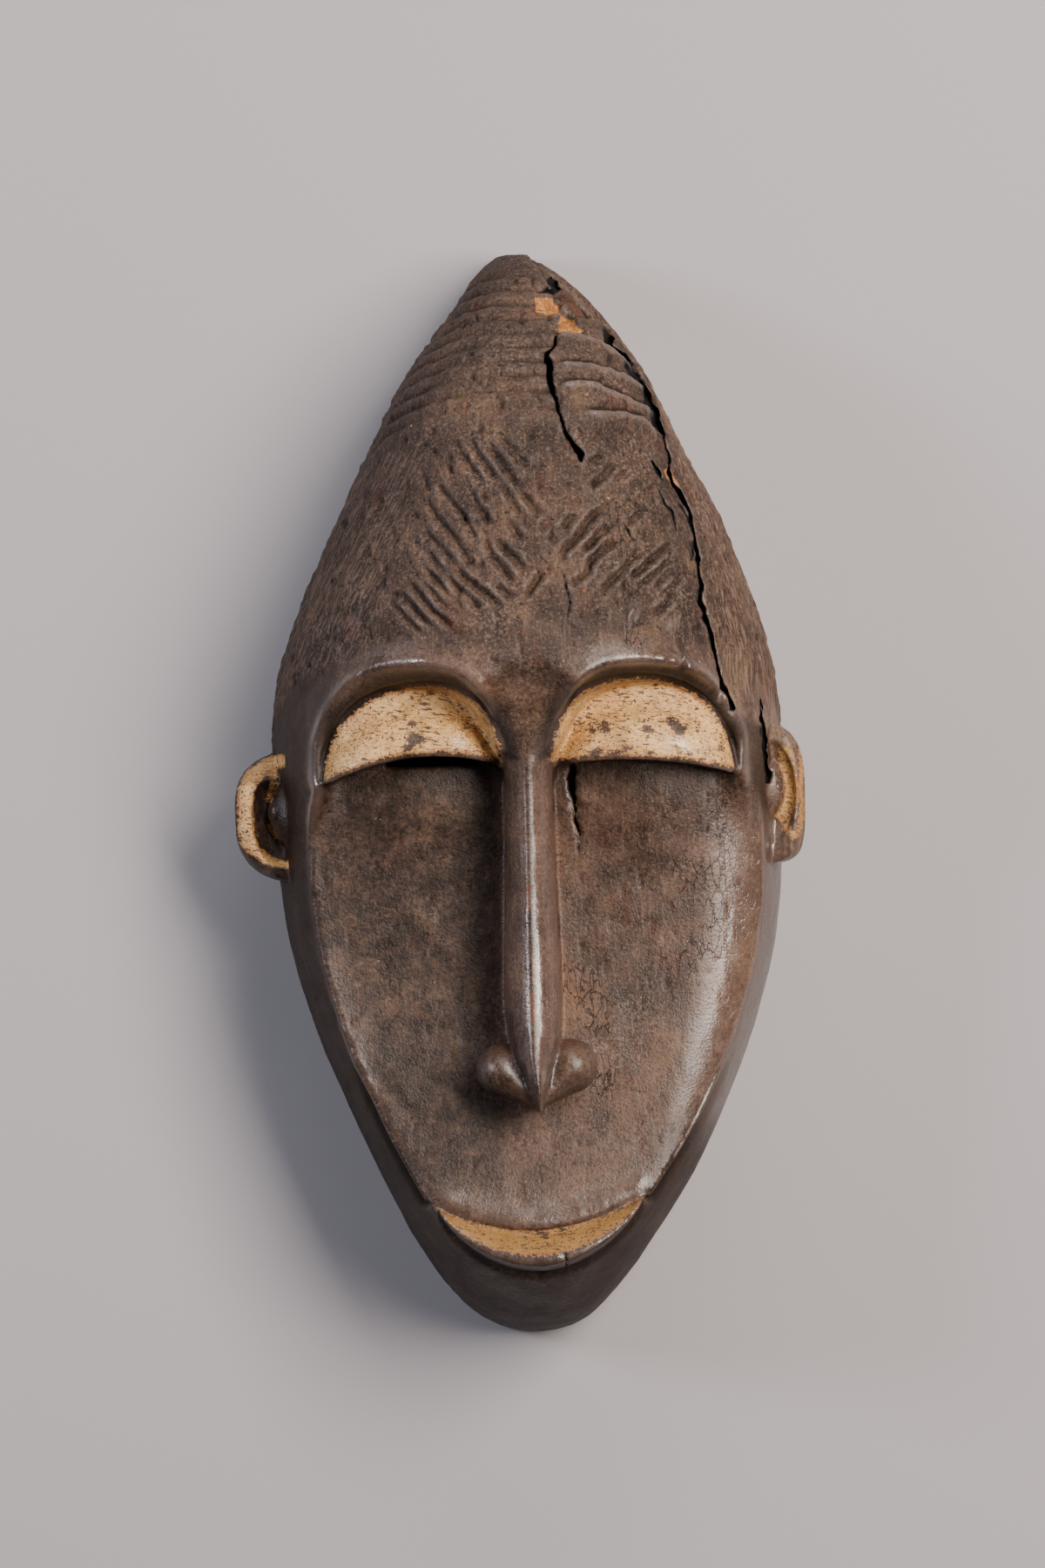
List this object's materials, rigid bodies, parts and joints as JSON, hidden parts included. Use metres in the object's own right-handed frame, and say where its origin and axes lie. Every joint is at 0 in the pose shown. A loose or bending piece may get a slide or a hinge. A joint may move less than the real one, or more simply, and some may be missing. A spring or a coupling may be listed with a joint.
{
  "type": "carved wooden face mask",
  "caption": "Hollow carved wooden face mask with a ridged, pointed coiffure, heavy lids with sight slots below, a long narrow nose, a thin crescent mouth and cupped ears; dark wood with ochre.",
  "frame": {"origin": "on the plane of the flat rim, under the middle of the mask's outline, ears included", "axes": "+Y from the chin to the crown, +Z out of the face, +X to the right of someone looking at the face"},
  "size_m": [0.178, 0.34, 0.1002],
  "materials": {
    "carved_wood": "hand carved, dark worn patina, ochre pigment on the lids, the lip and the ears"
  },
  "bodies": {
    "root": {"mask": "carved_wood"}
  },
  "joints": []
}
